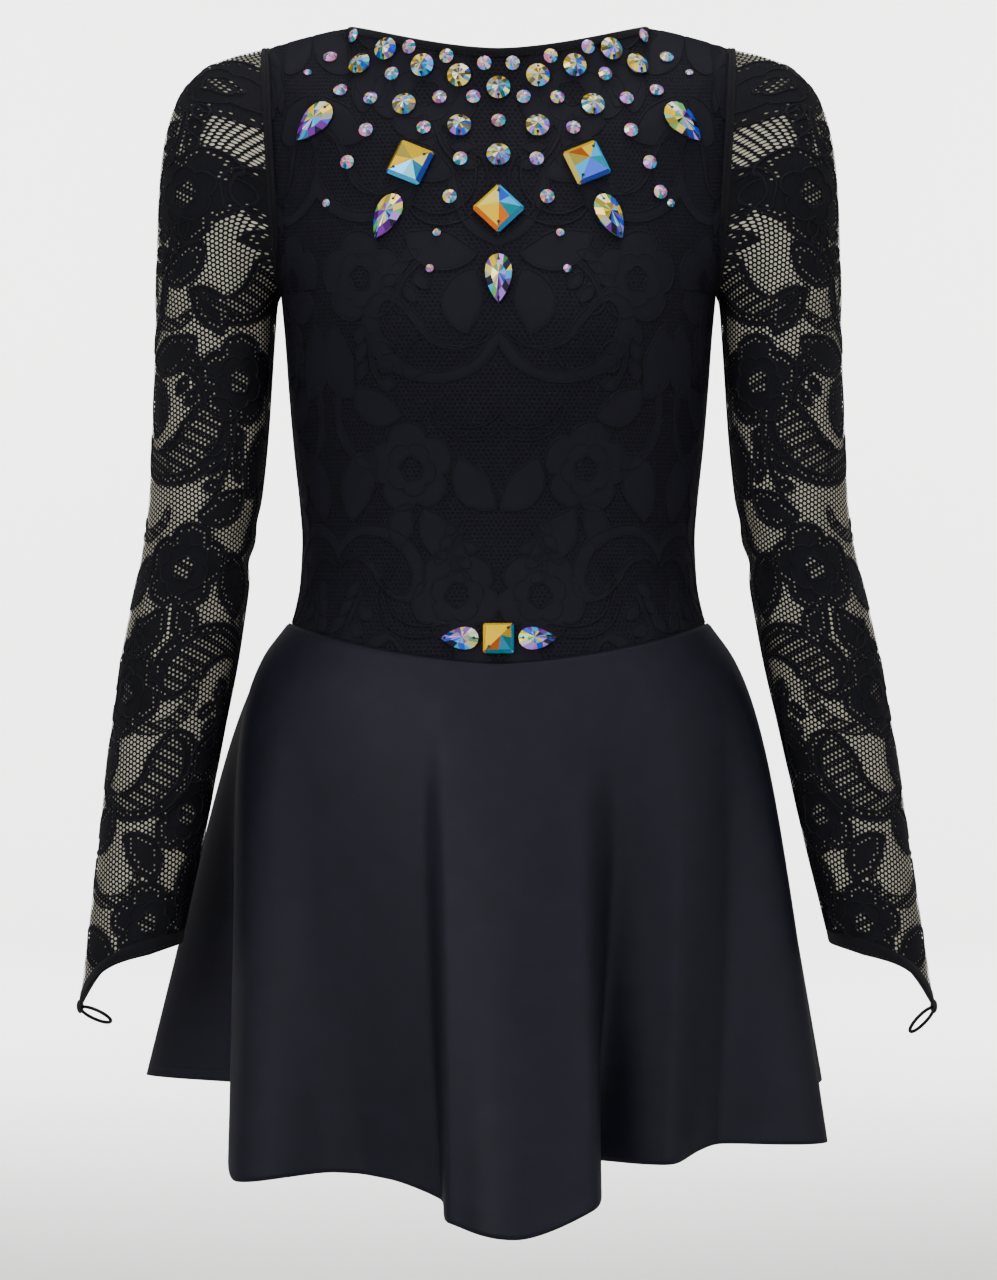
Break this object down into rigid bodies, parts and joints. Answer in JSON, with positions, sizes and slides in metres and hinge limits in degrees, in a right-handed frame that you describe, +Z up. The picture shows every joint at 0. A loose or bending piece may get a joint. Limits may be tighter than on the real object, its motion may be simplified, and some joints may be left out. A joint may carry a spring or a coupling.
{
  "type": "irish dance dress",
  "caption": "Long-sleeved black stretch dance dress with a lined lace bodice, sheer lace sleeves, pointed cuffs, a flared skirt and sewn-on crystals.",
  "frame": {"origin": "midway between the two shoulder seams, on the line where the wearer's shoulders carry the dress", "axes": "+Z up, -Y towards the front, +X towards the wearer's left"},
  "size_m": [0.5269, 0.3945, 0.7194],
  "materials": {
    "bodice_lace": "black stretch lace over a black lining",
    "sleeve_lace": "sheer black floral lace",
    "trim": "matte black elastic",
    "skirt_satin": "black stretch satin with a soft sheen",
    "crystal": "faceted glass with a rainbow coating"
  },
  "bodies": {
    "root": {"bodice_front": "bodice_lace", "bodice_back": "bodice_lace", "sleeve_left": "sleeve_lace", "sleeve_right": "sleeve_lace", "cuff_band_left": "trim", "cuff_band_right": "trim", "finger_loop_left": "trim", "finger_loop_right": "trim", "skirt_front": "skirt_satin", "skirt_back": "skirt_satin", "crystal_round_1": "crystal", "crystal_round_2": "crystal", "crystal_round_3": "crystal", "crystal_round_4": "crystal", "crystal_round_5": "crystal", "crystal_round_6": "crystal", "crystal_round_7": "crystal", "crystal_round_8": "crystal", "crystal_round_9": "crystal", "crystal_round_10": "crystal", "crystal_round_11": "crystal", "crystal_round_12": "crystal", "crystal_round_13": "crystal", "crystal_round_14": "crystal", "crystal_square_1": "crystal", "crystal_square_2": "crystal", "crystal_square_3": "crystal", "crystal_drop_1": "crystal", "crystal_drop_2": "crystal", "crystal_drop_3": "crystal", "crystal_drop_4": "crystal", "crystal_drop_5": "crystal", "crystal_waist_square_1": "crystal", "crystal_waist_drop_1": "crystal", "crystal_waist_drop_2": "crystal"}
  },
  "joints": []
}
